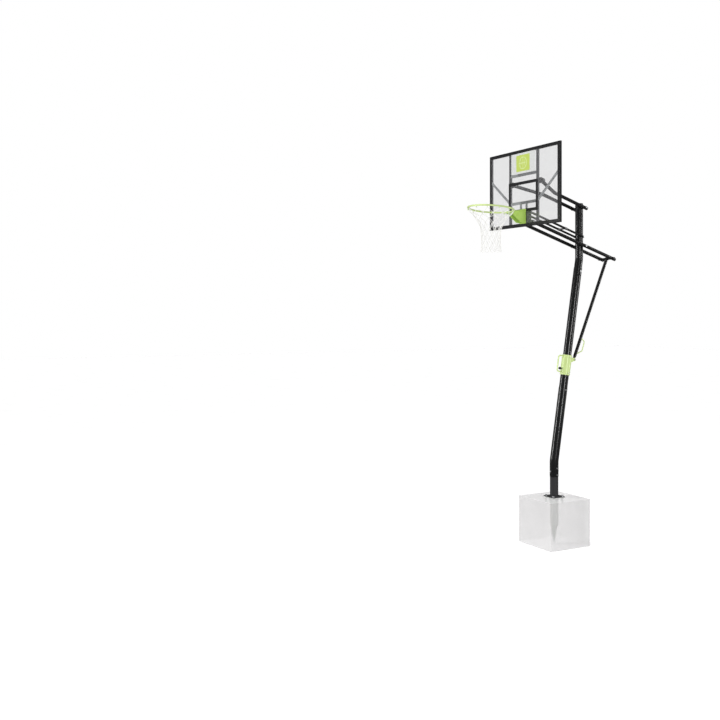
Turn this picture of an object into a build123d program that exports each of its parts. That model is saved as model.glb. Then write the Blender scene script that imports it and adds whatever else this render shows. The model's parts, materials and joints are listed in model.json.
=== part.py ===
from build123d import *
import math
import os

os.makedirs("parts", exist_ok=True)

# In-ground basketball hoop with a lever-lifted backboard, all in millimetres.
# Origin: the post's axis at court level, which is the top of the concrete block.
# +Z is up, the hoop faces -Y, and +X is the player's right when facing the board.

# ---------------------------------------------------------------- driving sizes
# Foundation
BLOCK_SIDE = 530.0
BLOCK_DEPTH = 500.0
PLATE_SIDE = 162.0
FLANGE_T = 6.0
PLATE_T = 8.0
BASE_BOLT_INSET = 20.0
FERRULE_R = 11.0
FERRULE_LENGTH = 57.0
SLEEVE_R = 44.3
SLEEVE_WALL = 3.0
SLEEVE_DEPTH = 300.0
SPIKE_TIP_DEPTH = 478.0
SPIKE_TIP_HALF = 5.0
FIN_T = 5.0
GUSSET_INSET = 6.0
GUSSET_DEPTH = 70.0
WASHER_R = 15.0
WASHER_T = 2.5
BASE_BOLT_SHORT = 6.0
BLOCK_CHAMFER = 4.0
PLATE_CORNER = 8.0

# Post: three telescoped tubes over a stub
POST_OFFSET = 349.0
LOWER_BEND_Z = 390.0
UPPER_BEND_Z = 2560.0
POST_TOP_Z = 3153.0
BEND_RADIUS = 260.0
STUB_R = 44.3
STUB_WALL = 3.0
LOWER_R = 46.5
MIDDLE_R = 44.3
UPPER_R = 42.0
POST_WALL = 2.0
STUB_TOP_Z = 360.0
LOWER_START_Z = 220.0
LOWER_END = 790.0
MIDDLE_START = 590.0
MIDDLE_END = 2100.0
UPPER_START = 1900.0
LOWER_SPLICE = 764.0
UPPER_SPLICE = 2060.0
STUB_BOLT_SIDE_Z = (242.0, 314.0)
STUB_BOLT_FRONT_Z = 278.0
SPLICE_HEAD_GAP = 1.0
SPLICE_OVER = 14.0
SPLICE_NUT_BACK = 13.0
CAP_HEAD = 8.0
CAP_HEAD_ROUND = 6.0
CAP_PLUG = 20.0

# Parallel arms
ARM_ANGLE = 17.7
ARM_RUN = 709.0
REAR_RUN = 397.0
UPPER_PIVOT_Z = 3107.0
INNER_PIVOT_Z = 2798.0
LOWER_PIVOT_Z = 2696.0
ARM_X = 90.0
INNER_X = 57.0
ARM_R = 18.0
INNER_R = 11.5
ARM_WALL = 2.0
ARM_FRONT_OVER = 14.0
UPPER_REAR_OVER = 30.0
LOWER_REAR_OVER = 36.0
SPLAY_START_Y = -70.0
SPLAY_X = 228.0
SPLAY_RADIUS = 90.0

# Pivot hardware
PIVOT_R = 7.0
INNER_BOLT_R = 5.0
AXLE_R = 8.0
AXLE_OVER = 14.0
RUNNING_GAP = 0.06
FIT_GAP = 0.2
PRESS_GAP = 0.02
SIDE_GAP = 1.0
SPACER_WALL = 4.0
BOSS_R = 13.0
BOSS_HALF = 20.0
END_BOSS_R = 19.0
END_BOSS_HALF = 30.0
INNER_BOSS_R = 9.0
INNER_BOSS_HALF = 12.0
BUSH_WALL = 2.0
INNER_BUSH_WALL = 1.5
CAP_T = 3.0
CAP_ROUND = 1.8
BRACE_DISTANCE = 250.0
BRACE_R = 8.0
CLAMP_HALF = 16.0
CLAMP_WALL = 2.5

# Height collar and strut
COLLAR_START = 925.0
COLLAR_LENGTH = 215.0
COLLAR_R = 52.0
COLLAR_WALL = 4.0
LUG_STATION = 1105.0
LUG_OFFSET = 96.0
LUG_HALF_GAP = 13.0
LUG_T = 4.0
LUG_R = 17.0
LUG_REACH = 50.0
LUG_PIN_R = 6.0
LINER_LENGTH = 40.0
LINER_GAP = 0.35
COLLAR_SCREW_INSET = 22.0
COLLAR_GRIP_R = 7.0
COLLAR_GRIP_OUT = 114.0
COLLAR_GRIP_LOW = 951.0
COLLAR_GRIP_HIGH = 1126.0
COLLAR_GRIP_RADIUS = 22.0
TRAVEL = 369.0
LOCK_HOLES = 7
LOCK_HOLE_R = 6.5
PLUNGER_STATION = 988.0
PLUNGER_PIN_R = 5.5
PLUNGER_GAP = 0.5
HOUSING_R = 11.0
HOUSING_BORE_R = 8.6
HOUSING_OVER = 11.0
SPRING_R = 7.3
SPRING_WIRE_R = 0.7
SPRING_PITCH = 2.3
SPRING_LENGTH = 6.9
KNOB_R = 13.0
KNOB_START = 66.0
KNOB_END = 90.0
STRUT_R = 17.0
STRUT_WALL = 2.0
STRUT_START = 34.0
STRUT_PLUG = 6.0
STRUT_EYE_HALF = 20.0
TONGUE_HALF = 4.0
TONGUE_R = 14.0
STRUT_GRIP_R = 5.5
STRUT_GRIP_RADIUS = 20.0
STRUT_GRIP_LOOP = ((250.0, 19.0), (238.0, 66.0), (132.0, 74.0), (76.0, 19.0))

# Backboard
BOARD_W = 1158.0
BOARD_H = 811.0
BOARD_BOTTOM = 2876.0
BOARD_FRONT = -420.0
SHEET_T = 4.0
FRAME_FACE = 32.0
FRAME_DEPTH = 22.0
BAR_FACE = 27.0
BAR_DEPTH = 20.0
UPRIGHT_X = 224.0
UPPER_CROSSBAR_Z = 3423.0
LOWER_CROSSBAR_Z = 3128.0
DIAGONAL_TOP_Z = 3393.0
DIAGONAL_LOW_Z = 3141.0
DIAGONAL_HEIGHT = 24.0
DIAGONAL_DEPTH = 16.0
SCREW_COLUMNS_X = (-390.0, -130.0, 130.0, 390.0)
SCREW_ROWS_Z = (3080.0, 3280.0, 3480.0)
SCREW_R = 2.5
SCREW_HEAD_R = 6.0
SCREW_HEAD_T = 2.4
SCREW_GRIP = 12.0
SCREW_GAP = 0.1

# Ring carrier and upper arm brackets behind the board
CARRIER_HALF_W = 60.0
CARRIER_T = 5.0
CHEEK_X = 34.0
CHEEK_REAR = 20.0
CARRIER_OVER = 28.0
CARRIER_UPRIGHT_X = (38.0, 56.0)
CARRIER_UPRIGHT_DEPTH = 14.0
BRACKET_HALF_GAP = 31.0
BRACKET_T = 5.0
BRACKET_BASE_T = 4.0
BRACKET_HALF_H = 30.0

# Rim and net
RIM_REACH = 415.0
RIM_Z = 3040.0
RIM_TILT = 5.0
RING_R = 234.0
ROD_R = 9.0
RIM_PLATE_HALF_W = 50.0
RIM_PLATE_T = 5.0
RIM_PLATE_LOW = 2906.0
RIM_PLATE_HIGH = 3058.0
RIM_GUSSET_X = 33.0
RIM_GUSSET_T = 5.0
RIM_BOLT_OVER = 13.0
RIM_BOLTS_X = (-20.0, 20.0)
RIM_BOLTS_Z = (2948.0, 3012.0)
HOOKS = 12
HOOK_R = 6.0
HOOK_WIRE_R = 2.0
NET_PANELS = 8
NET_T = 3.0
NET_SEAM = 2.0
NET_TOP_R = 222.0
NET_WAIST_R = 108.0
NET_FOOT_R = 100.0
NET_TOP_DROP = 30.0
NET_WAIST_DROP = 205.0
NET_FOOT_DROP = 455.0

# ---------------------------------------------------------------- derived places
LEAN = math.atan2(POST_OFFSET, UPPER_BEND_Z - LOWER_BEND_Z)
LEAN_FRAME = Plane(
    origin=(0, 0, LOWER_BEND_Z),
    x_dir=(1, 0, 0),
    z_dir=(0, math.sin(LEAN), math.cos(LEAN)),
)
ARM_COS = math.cos(math.radians(ARM_ANGLE))
ARM_SIN = math.sin(math.radians(ARM_ANGLE))
ARM_DIR = Vector(0, ARM_COS, -ARM_SIN)
ARM_RISE = ARM_RUN * ARM_SIN / ARM_COS
FRONT_PIVOT_Y = POST_OFFSET - ARM_RUN
REAR_Y = POST_OFFSET + REAR_RUN
REAR_Z = LOWER_PIVOT_Z - REAR_RUN * ARM_SIN / ARM_COS
FRAME_FRONT = BOARD_FRONT + SHEET_T
FRAME_REAR = FRAME_FRONT + FRAME_DEPTH
BAR_REAR = FRAME_FRONT + BAR_DEPTH
BOARD_TOP = BOARD_BOTTOM + BOARD_H
HALF_W = BOARD_W / 2
RIM_Y = BOARD_FRONT - RIM_REACH
RIM_PLANE = Plane(
    origin=(0, RIM_Y, RIM_Z),
    x_dir=(1, 0, 0),
    z_dir=(0, math.sin(math.radians(RIM_TILT)), math.cos(math.radians(RIM_TILT))),
)


# ---------------------------------------------------------------- helpers
def on_lean(x, y, s):
    """A point of the leaning post's frame: y points rearwards, s runs up the axis."""
    return LEAN_FRAME.from_local_coords(Vector(x, y, s))


def rod(start, end, radius):
    start, end = Vector(start), Vector(end)
    run = end - start
    return Solid.make_cylinder(radius, run.length, Plane(origin=start, z_dir=run))


def pipe(start, end, outer, inner):
    return rod(start, end, outer) - rod(start, end, inner)


def x_rod(y, z, x0, x1, radius):
    return rod((x0, y, z), (x1, y, z), radius)


def x_pipe(y, z, x0, x1, outer, inner):
    return pipe((x0, y, z), (x1, y, z), outer, inner)


def block(x0, x1, y0, y1, z0, z1):
    return Pos((x0 + x1) / 2, (y0 + y1) / 2, (z0 + z1) / 2) * Box(x1 - x0, y1 - y0, z1 - z0)


def hexagon(start, direction, flats, height):
    """A hexagonal prism with softened far corners, for bolt heads and nuts."""
    plane = Plane(origin=start, z_dir=direction)
    prism = extrude(plane * RegularPolygon(flats / 2, 6, major_radius=False), height)
    straight, corner = height * 0.7, flats * 0.6
    crown = Solid.make_cylinder(corner, straight)
    crown += Solid.make_cone(corner, flats * 0.48, height - straight, Plane.XY.offset(straight))
    return prism & (plane.location * crown)


def bolt(start, end, radius):
    """Head outside start, shank from start to end."""
    start, end = Vector(start), Vector(end)
    run = (end - start).normalized()
    flats = radius * 3.3
    return rod(start, end, radius) + hexagon(start, run * -1, flats, radius * 1.25)


def nut(start, direction, radius):
    """A nut that sits on start and grows along the direction."""
    direction = Vector(direction).normalized()
    height = radius * 1.5
    bore = rod(Vector(start) - direction, Vector(start) + direction * (height + 1), radius + RUNNING_GAP)
    return hexagon(start, direction, radius * 3.3, height) - bore


def bent(points, radius, outer, inner=None):
    """A round tube, or a rod with no inner, along straight runs joined by arcs."""
    path = FilletPolyline(*points, radius=radius)
    section = Circle(outer) if inner is None else Circle(outer) - Circle(inner)
    start = Plane(origin=path @ 0, z_dir=path % 0)
    return sweep(start * section, path=path)


def extrude_x(outline, x0, x1):
    """A plate from an outline in Y and Z, between two places on X."""
    face = Plane.YZ.offset(x0) * make_face(Polyline(*outline, close=True))
    return extrude(face, x1 - x0)


def extrude_y(outline, y0, y1):
    """A plate from an outline in X and Z, between two places on Y."""
    face = Plane(origin=(0, y0, 0), x_dir=(1, 0, 0), z_dir=(0, -1, 0)) * make_face(
        Polyline(*outline, close=True)
    )
    return extrude(face, y0 - y1)


def mirrored(part):
    return mirror(part, about=Plane.YZ)


def both_sides(*parts):
    return [copy for part in parts for copy in (part, mirrored(part))]


def save(name, *parts):
    solids = [solid for part in parts for solid in part.solids()]
    shape = solids[0] if len(solids) == 1 else Compound(children=solids)
    export_step(shape, f"parts/{name}.step")


# ---------------------------------------------------------------- foundation
def base_bolt_places():
    reach = PLATE_SIDE / 2 - BASE_BOLT_INSET
    return [(sx * reach, sy * reach) for sx in (-1, 1) for sy in (-1, 1)]


def sleeve_gussets():
    """Four triangular plates between the sleeve tube and the underside of its flange."""
    reach = PLATE_SIDE / 2 - GUSSET_INSET
    outline = [(SLEEVE_R - 1, 0), (reach, 0), (SLEEVE_R - 1, -GUSSET_DEPTH)]
    plate = extrude_x(outline, -FIN_T / 2, FIN_T / 2)
    return [Rot(0, 0, 90 * quarter) * plate for quarter in range(4)]


def spike_fins():
    """Two crossed tapered fins that make the sleeve's point."""
    half = SLEEVE_R - 1
    outline = [
        (-half, -SLEEVE_DEPTH),
        (half, -SLEEVE_DEPTH),
        (SPIKE_TIP_HALF, -SPIKE_TIP_DEPTH),
        (-SPIKE_TIP_HALF, -SPIKE_TIP_DEPTH),
    ]
    fin = extrude_x(outline, -FIN_T / 2, FIN_T / 2)
    return fin + Rot(0, 0, 90) * fin


def make_foundation():
    reach = PLATE_SIDE / 2
    flange = block(-reach, reach, -reach, reach, 0, FLANGE_T)
    tube = pipe((0, 0, -SLEEVE_DEPTH), (0, 0, FLANGE_T), SLEEVE_R, SLEEVE_R - SLEEVE_WALL)
    sleeve = flange - rod((0, 0, 0), (0, 0, FLANGE_T), SLEEVE_R - SLEEVE_WALL) + tube
    for gusset in sleeve_gussets():
        sleeve += gusset
    ferrules, bolts, washers = [], [], []
    top = FLANGE_T + PLATE_T
    for x, y in base_bolt_places():
        ferrules.append(pipe((x, y, -FERRULE_LENGTH), (x, y, 0), FERRULE_R, PIVOT_R + FIT_GAP))
        sleeve -= rod((x, y, -1), (x, y, FLANGE_T + 1), PIVOT_R + FIT_GAP)
        seat = (x, y, top + WASHER_T)
        bolts.append(bolt(seat, (x, y, BASE_BOLT_SHORT - FERRULE_LENGTH), PIVOT_R))
        washers.append(pipe((x, y, top), seat, WASHER_R, PIVOT_R + FIT_GAP))
    fins = spike_fins()
    half = BLOCK_SIDE / 2
    concrete = block(-half, half, -half, half, -BLOCK_DEPTH, 0)
    concrete = chamfer(concrete.edges().filter_by(Axis.Z), BLOCK_CHAMFER)
    concrete -= rod((0, 0, -SLEEVE_DEPTH), (0, 0, 1), SLEEVE_R)
    concrete -= fins
    for gusset in sleeve_gussets():
        concrete -= gusset
    for x, y in base_bolt_places():
        concrete -= rod((x, y, -FERRULE_LENGTH), (x, y, 1), FERRULE_R)
    save("foundation_block", concrete)
    save("ground_sleeve", sleeve)
    save("ground_spike", fins)
    save("anchor_ferrules", *ferrules)
    save("base_bolts", *bolts)
    save("base_washers", *washers)


# ---------------------------------------------------------------- post
def splice_line(centre, side, radius):
    """Start and end of a bolt across the post, with its head on the given side."""
    return centre + side * (radius + SPLICE_HEAD_GAP), centre - side * (radius + SPLICE_OVER)


def post_bolt_lines():
    """Start and end of every bolt that pins two post tubes together."""
    across, forwards = Vector(1, 0, 0), Vector(0, -1, 0)
    lines = [splice_line(Vector(0, 0, z), across, LOWER_R) for z in STUB_BOLT_SIDE_Z]
    lines.append(splice_line(Vector(0, 0, STUB_BOLT_FRONT_Z), forwards, LOWER_R))
    lines.append(splice_line(on_lean(0, 0, LOWER_SPLICE), across, LOWER_R))
    lines.append(splice_line(on_lean(0, 0, UPPER_SPLICE), across, MIDDLE_R))
    return lines


def make_stub():
    reach = PLATE_SIDE / 2
    plate = block(-reach, reach, -reach, reach, FLANGE_T, FLANGE_T + PLATE_T)
    stub = fillet(plate.edges().filter_by(Axis.Z), PLATE_CORNER)
    stub += rod((0, 0, FLANGE_T), (0, 0, STUB_TOP_Z), STUB_R)
    stub -= rod((0, 0, FLANGE_T), (0, 0, STUB_TOP_Z), STUB_R - STUB_WALL)
    for x, y in base_bolt_places():
        stub -= rod((x, y, 0), (x, y, FLANGE_T + PLATE_T + 1), PIVOT_R + FIT_GAP)
    return stub


def make_post_cap():
    top = (0, POST_OFFSET, POST_TOP_Z)
    cap = rod(top, (0, POST_OFFSET, POST_TOP_Z + CAP_HEAD), UPPER_R)
    cap = fillet(cap.edges().group_by(Axis.Z)[-1], CAP_HEAD_ROUND)
    cap += rod((0, POST_OFFSET, POST_TOP_Z - CAP_PLUG), top, UPPER_R - POST_WALL - FIT_GAP)
    save("post_cap", cap)


def make_post():
    """The four tubes of the post; returns the bolts and nuts that join them."""
    foot = (0, 0, LOWER_START_Z)
    low_bend = (0, 0, LOWER_BEND_Z)
    top_bend = (0, POST_OFFSET, UPPER_BEND_Z)
    top = (0, POST_OFFSET, POST_TOP_Z)
    stub = make_stub()
    lower = bent([foot, low_bend, on_lean(0, 0, LOWER_END)], BEND_RADIUS, LOWER_R, LOWER_R - POST_WALL)
    middle = pipe(on_lean(0, 0, MIDDLE_START), on_lean(0, 0, MIDDLE_END), MIDDLE_R, MIDDLE_R - POST_WALL)
    upper = bent([on_lean(0, 0, UPPER_START), top_bend, top], BEND_RADIUS, UPPER_R, UPPER_R - POST_WALL)
    bolts, nuts = [], []
    for start, end in post_bolt_lines():
        run = (end - start).normalized()
        through = rod(start - run * SPLICE_OVER, end + run, INNER_BOLT_R + FIT_GAP)
        stub, lower, middle, upper = (tube - through for tube in (stub, lower, middle, upper))
        bolts.append(bolt(start, end, INNER_BOLT_R))
        nuts.append(nut(end - run * SPLICE_NUT_BACK, run, INNER_BOLT_R))
    for z, radius in pivot_heights():
        upper -= x_rod(POST_OFFSET, z, -UPPER_R - 1, UPPER_R + 1, radius + FIT_GAP)
    for index in range(LOCK_HOLES):
        station = PLUNGER_STATION + TRAVEL * index / (LOCK_HOLES - 1)
        skin = on_lean(0, -MIDDLE_R, station)
        middle -= rod(skin - LEAN_FRAME.y_dir, skin + LEAN_FRAME.y_dir * POST_WALL * 4, LOCK_HOLE_R)
    make_post_cap()
    save("post_stub", stub)
    save("lower_post", lower)
    save("middle_post", middle)
    save("upper_post", upper)
    return bolts, nuts


def pivot_heights():
    return (
        (UPPER_PIVOT_Z, PIVOT_R),
        (INNER_PIVOT_Z, INNER_BOLT_R),
        (LOWER_PIVOT_Z, PIVOT_R),
    )


def cross_bolt(y, z, reach, radius, centre=0.0):
    """A bolt along X with its head on +X, and its nut, clear of what it clamps."""
    start = (centre + reach, y, z)
    end = (centre - reach - radius * 1.5 - 3, y, z)
    return bolt(start, end, radius), nut((centre - reach, y, z), (-1, 0, 0), radius)


def pivot_spacer(y, z, inside, boss_face, bolt_r):
    """The tube that keeps an arm's boss off the part it turns on."""
    start, end = inside + FIT_GAP, boss_face - SIDE_GAP / 2
    return x_pipe(y, z, start, end, bolt_r + SPACER_WALL, bolt_r + FIT_GAP)


def make_post_fasteners(bolts, nuts):
    """Adds the pivot bolts of the three pairs of arms, with their spacer tubes."""
    spacers = []
    for z, radius in pivot_heights():
        middle, half = (INNER_X, INNER_BOSS_HALF) if radius == INNER_BOLT_R else (ARM_X, BOSS_HALF)
        made, own_nut = cross_bolt(POST_OFFSET, z, middle + half + SIDE_GAP, radius)
        bolts.append(made)
        nuts.append(own_nut)
        spacers += both_sides(pivot_spacer(POST_OFFSET, z, UPPER_R, middle - half, radius))
    save("post_bolts", *bolts)
    save("post_nuts", *nuts)
    save("pivot_spacers", *spacers)


# ---------------------------------------------------------------- arms
def arm_point(pivot_y, pivot_z, x, distance):
    """A point that lies a distance rearwards of a pivot, on the line of the arm."""
    return Vector(x, pivot_y, pivot_z) + ARM_DIR * distance


def with_bosses(tube, places, boss_r, half, bush_r, bolt_r):
    """Cross tubes welded through an arm at its pivots, and the bushes inside them."""
    bushes = []
    for x, y, z in places:
        tube += x_rod(y, z, x - half, x + half, boss_r)
    for x, y, z in places:
        tube -= x_rod(y, z, x - half - 1, x + half + 1, bush_r)
        bushes.append(x_pipe(y, z, x - half, x + half, bush_r, bolt_r + RUNNING_GAP))
    return tube, bushes


def end_cap(point, direction, radius):
    cap = rod(point, point + direction * CAP_T, radius)
    far = cap.edges().filter_by(GeomType.CIRCLE).sort_by_distance(point + direction * radius * 3)[0]
    return fillet(far, CAP_ROUND)


def make_lower_arms():
    front = FRONT_PIVOT_Y, LOWER_PIVOT_Z + ARM_RISE
    start = arm_point(*front, ARM_X, -ARM_FRONT_OVER)
    end = arm_point(REAR_Y, REAR_Z, ARM_X, LOWER_REAR_OVER)
    tube = pipe(start, end, ARM_R, ARM_R - ARM_WALL)
    bolt_places = [(ARM_X, *front), (ARM_X, POST_OFFSET, LOWER_PIVOT_Z)]
    arm, bushes = with_bosses(tube, bolt_places, BOSS_R, BOSS_HALF, PIVOT_R + BUSH_WALL, PIVOT_R)
    near, far = ARM_X - BOSS_HALF, ARM_X + BOSS_HALF
    arm += x_rod(REAR_Y, REAR_Z, near, far, BOSS_R)
    arm -= x_rod(REAR_Y, REAR_Z, near - 1, far + 1, AXLE_R + FIT_GAP)
    caps = [end_cap(start, ARM_DIR * -1, ARM_R), end_cap(end, ARM_DIR, ARM_R)]
    axle_nut = nut((far + FIT_GAP, REAR_Y, REAR_Z), (1, 0, 0), AXLE_R)
    axle = x_rod(REAR_Y, REAR_Z, -far - AXLE_OVER, far + AXLE_OVER, AXLE_R)
    inside = STRUT_EYE_HALF + SIDE_GAP
    spacer = x_pipe(REAR_Y, REAR_Z, inside, near - FIT_GAP, AXLE_R + SPACER_WALL, AXLE_R + FIT_GAP)
    save("lower_arm_right", arm)
    save("lower_arm_left", mirrored(arm))
    save("lower_arm_bushes", *both_sides(*bushes))
    save("lower_arm_caps", *both_sides(*caps))
    save("rear_axle", axle)
    save("rear_axle_fittings", *both_sides(axle_nut, spacer))


def make_upper_arms():
    rear = arm_point(POST_OFFSET, UPPER_PIVOT_Z, ARM_X, UPPER_REAR_OVER)
    bend = arm_point(POST_OFFSET, UPPER_PIVOT_Z, ARM_X, (SPLAY_START_Y - POST_OFFSET) / ARM_COS)
    pivot = Vector(SPLAY_X, FRONT_PIVOT_Y, UPPER_PIVOT_Z + ARM_RISE)
    tube = bent([rear, bend, pivot], SPLAY_RADIUS, ARM_R, ARM_R - ARM_WALL)
    bush_r = PIVOT_R + BUSH_WALL
    arm, rear_bush = with_bosses(
        tube, [(ARM_X, POST_OFFSET, UPPER_PIVOT_Z)], BOSS_R, BOSS_HALF, bush_r, PIVOT_R
    )
    arm, front_bush = with_bosses(arm, [tuple(pivot)], END_BOSS_R, END_BOSS_HALF, bush_r, PIVOT_R)
    cap = end_cap(rear, ARM_DIR, ARM_R)
    save("upper_arm_right", arm)
    save("upper_arm_left", mirrored(arm))
    save("upper_arm_bushes", *both_sides(*rear_bush, *front_bush))
    save("upper_arm_caps", *both_sides(cap))


def make_inner_arms():
    front = FRONT_PIVOT_Y, INNER_PIVOT_Z + ARM_RISE
    start = arm_point(*front, INNER_X, -ARM_FRONT_OVER)
    end = arm_point(POST_OFFSET, INNER_PIVOT_Z, INNER_X, ARM_FRONT_OVER)
    tube = pipe(start, end, INNER_R, INNER_R - ARM_WALL)
    places = [(INNER_X, *front), (INNER_X, POST_OFFSET, INNER_PIVOT_Z)]
    bush_r = INNER_BOLT_R + INNER_BUSH_WALL
    arm, bushes = with_bosses(tube, places, INNER_BOSS_R, INNER_BOSS_HALF, bush_r, INNER_BOLT_R)
    save("inner_arm_right", arm)
    save("inner_arm_left", mirrored(arm))
    save("inner_arm_brace", inner_brace())
    save("inner_arm_bushes", *both_sides(*bushes))


def inner_brace():
    """A rod across the two inner arms, with a clamp round each."""
    centre = arm_point(POST_OFFSET, INNER_PIVOT_Z, INNER_X, -BRACE_DISTANCE)
    ends = centre - ARM_DIR * CLAMP_HALF, centre + ARM_DIR * CLAMP_HALF
    clamp = rod(*ends, INNER_R + CLAMP_WALL)
    cross = x_rod(centre.Y, centre.Z, -INNER_X, INNER_X, BRACE_R)
    bore = rod(ends[0] - ARM_DIR, ends[1] + ARM_DIR, INNER_R + PRESS_GAP)
    return cross + clamp + mirrored(clamp) - bore - mirrored(bore)


# ---------------------------------------------------------------- strut and collar
def strut_axis():
    """The strut's lower pivot, upper pivot, and the directions along and behind it."""
    low = on_lean(0, LUG_OFFSET, LUG_STATION)
    high = Vector(0, REAR_Y, REAR_Z)
    run = (high - low).normalized()
    behind = Vector(0, run.Z, -run.Y)
    return low, high, run, behind


def make_strut():
    low, high, run, behind = strut_axis()
    start = low + run * STRUT_START
    tube = pipe(start, high, STRUT_R, STRUT_R - STRUT_WALL)
    tube += x_rod(high.Y, high.Z, -STRUT_EYE_HALF, STRUT_EYE_HALF, STRUT_R)
    tube += rod(start, start + run * STRUT_PLUG, STRUT_R)
    shank = STRUT_START + SIDE_GAP * 2
    tongue = Circle(TONGUE_R) + Pos(0, shank / 2) * Rectangle(2 * TONGUE_R, shank)
    tube += extrude(Plane(origin=low, x_dir=behind, z_dir=(1, 0, 0)) * tongue, TONGUE_HALF, both=True)
    tube -= x_rod(high.Y, high.Z, -STRUT_EYE_HALF - 1, STRUT_EYE_HALF + 1, AXLE_R + BUSH_WALL)
    tube -= x_rod(low.Y, low.Z, -TONGUE_HALF - 1, TONGUE_HALF + 1, LUG_PIN_R)
    save("strut", tube)
    save("strut_bushes", *strut_bushes(low, high))
    save("strut_handle", strut_grip(low, high, run, behind))


def strut_bushes(low, high):
    """The bush on the rear axle, and the pin through the tongue with its two thrust collars."""
    half = STRUT_EYE_HALF
    bush = x_pipe(high.Y, high.Z, -half, half, AXLE_R + BUSH_WALL, AXLE_R + RUNNING_GAP)
    pin_half = LUG_HALF_GAP - SIDE_GAP / 2
    pin = x_rod(low.Y, low.Z, -pin_half, pin_half, LUG_PIN_R - PRESS_GAP)
    collar = x_rod(low.Y, low.Z, TONGUE_HALF + PRESS_GAP, pin_half, LUG_PIN_R + SPACER_WALL)
    return bush, pin + collar + mirrored(collar)


def strut_grip(low, high, run, behind):
    points = [low + run * along + behind * out for along, out in STRUT_GRIP_LOOP]
    grip = bent(points, STRUT_GRIP_RADIUS, STRUT_GRIP_R)
    for foot in (points[0], points[-1]):
        grip += rod(foot - behind * 2, foot + behind, STRUT_GRIP_R + 1)
    return grip - rod(low, high, STRUT_R + PRESS_GAP)


def lug_plate():
    """The right-hand plate of the lug behind the collar, which holds the foot of the strut."""
    cheek = Circle(LUG_R) + Pos(-LUG_REACH / 2, 0) * Rectangle(LUG_REACH, 2 * LUG_R)
    web = Polyline(
        (-LUG_REACH, LUG_R),
        (-LUG_REACH, -LUG_R * 2.5),
        (-LUG_R / 3, -LUG_R + 1),
        (0, -LUG_R + 1),
        (0, LUG_R),
        close=True,
    )
    side = Plane(
        origin=on_lean(LUG_HALF_GAP, LUG_OFFSET, LUG_STATION),
        x_dir=LEAN_FRAME.y_dir,
        z_dir=(1, 0, 0),
    )
    return extrude(side * (cheek + make_face(web)), LUG_T)


def make_collar():
    start, end = on_lean(0, 0, COLLAR_START), on_lean(0, 0, COLLAR_START + COLLAR_LENGTH)
    bore = COLLAR_R - COLLAR_WALL
    lug = lug_plate()
    low = strut_axis()[0]
    face = LUG_HALF_GAP + LUG_T
    sleeve = pipe(start, end, COLLAR_R, bore) + lug + mirrored(lug)
    sleeve -= rod(start, end, bore)
    sleeve -= x_rod(low.Y, low.Z, -face - 1, face + 1, LUG_PIN_R + FIT_GAP)
    sleeve -= rod(
        on_lean(0, -MIDDLE_R, PLUNGER_STATION),
        on_lean(0, -COLLAR_R - 1, PLUNGER_STATION),
        HOUSING_R,
    )
    lug_bolt = hexagon((face, low.Y, low.Z), (1, 0, 0), LUG_PIN_R * 3.2, LUG_PIN_R * 1.3)
    lug_bolt += x_rod(low.Y, low.Z, LUG_HALF_GAP + FIT_GAP, face, LUG_PIN_R)
    screws = [
        hexagon(on_lean(COLLAR_R + PRESS_GAP, 0, station), (1, 0, 0), 11, 5)
        for station in (
            COLLAR_START + COLLAR_SCREW_INSET,
            COLLAR_START + COLLAR_LENGTH - COLLAR_SCREW_INSET,
        )
    ]
    liners = [
        pipe(on_lean(0, 0, foot), on_lean(0, 0, foot + LINER_LENGTH), bore, MIDDLE_R + LINER_GAP)
        for foot in (COLLAR_START + 2, COLLAR_START + COLLAR_LENGTH - LINER_LENGTH - 2)
    ]
    save("collar_sleeve", sleeve)
    save("collar_liners", *liners)
    save("collar_fasteners", *both_sides(lug_bolt, *screws))
    save("collar_handle", collar_grip(start, end))
    make_plunger(bore)


def collar_grip(start, end):
    skin = -COLLAR_R - 2
    points = [
        on_lean(0, skin, COLLAR_GRIP_HIGH),
        on_lean(0, -COLLAR_GRIP_OUT, COLLAR_GRIP_HIGH - 4),
        on_lean(0, -COLLAR_GRIP_OUT, COLLAR_GRIP_LOW + 4),
        on_lean(0, skin, COLLAR_GRIP_LOW),
    ]
    grip = bent(points, COLLAR_GRIP_RADIUS, COLLAR_GRIP_R)
    for foot in (points[0], points[-1]):
        grip += rod(foot + LEAN_FRAME.y_dir * 2 * COLLAR_GRIP_R, foot, COLLAR_GRIP_R + 2)
    return grip - rod(start, end, COLLAR_R + PRESS_GAP)


def make_plunger(bore):
    """The spring plunger in front of the collar, which locks into the holes of the post."""

    def out(distance):
        return on_lean(0, -distance, PLUNGER_STATION)

    mouth = COLLAR_R + HOUSING_OVER
    spring_seat = COLLAR_R - 5
    housing = rod(out(bore + PLUNGER_GAP), out(mouth), HOUSING_R)
    housing -= rod(out(spring_seat), out(mouth - 3), HOUSING_BORE_R)
    housing -= rod(out(bore), out(mouth + 1), PLUNGER_PIN_R + FIT_GAP)
    coil = Helix(pitch=SPRING_PITCH, height=SPRING_LENGTH, radius=SPRING_R)
    wire = sweep(Plane(origin=coil @ 0, z_dir=coil % 0) * Circle(SPRING_WIRE_R), path=coil)
    seat = Plane(origin=out(spring_seat + 1.6), z_dir=LEAN_FRAME.y_dir * -1)
    nose = out(MIDDLE_R + PLUNGER_GAP)
    tail = out((KNOB_START + KNOB_END) / 2)
    knob = fillet(rod(out(KNOB_START), out(KNOB_END), KNOB_R).edges(), KNOB_R / 3)
    knob -= rod(out(KNOB_START - 1), tail, PLUNGER_PIN_R)
    save("plunger_housing", housing)
    save("plunger_spring", seat.location * wire)
    save("plunger_pin", rod(nose, tail, PLUNGER_PIN_R))
    save("plunger_knob", knob)


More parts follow.
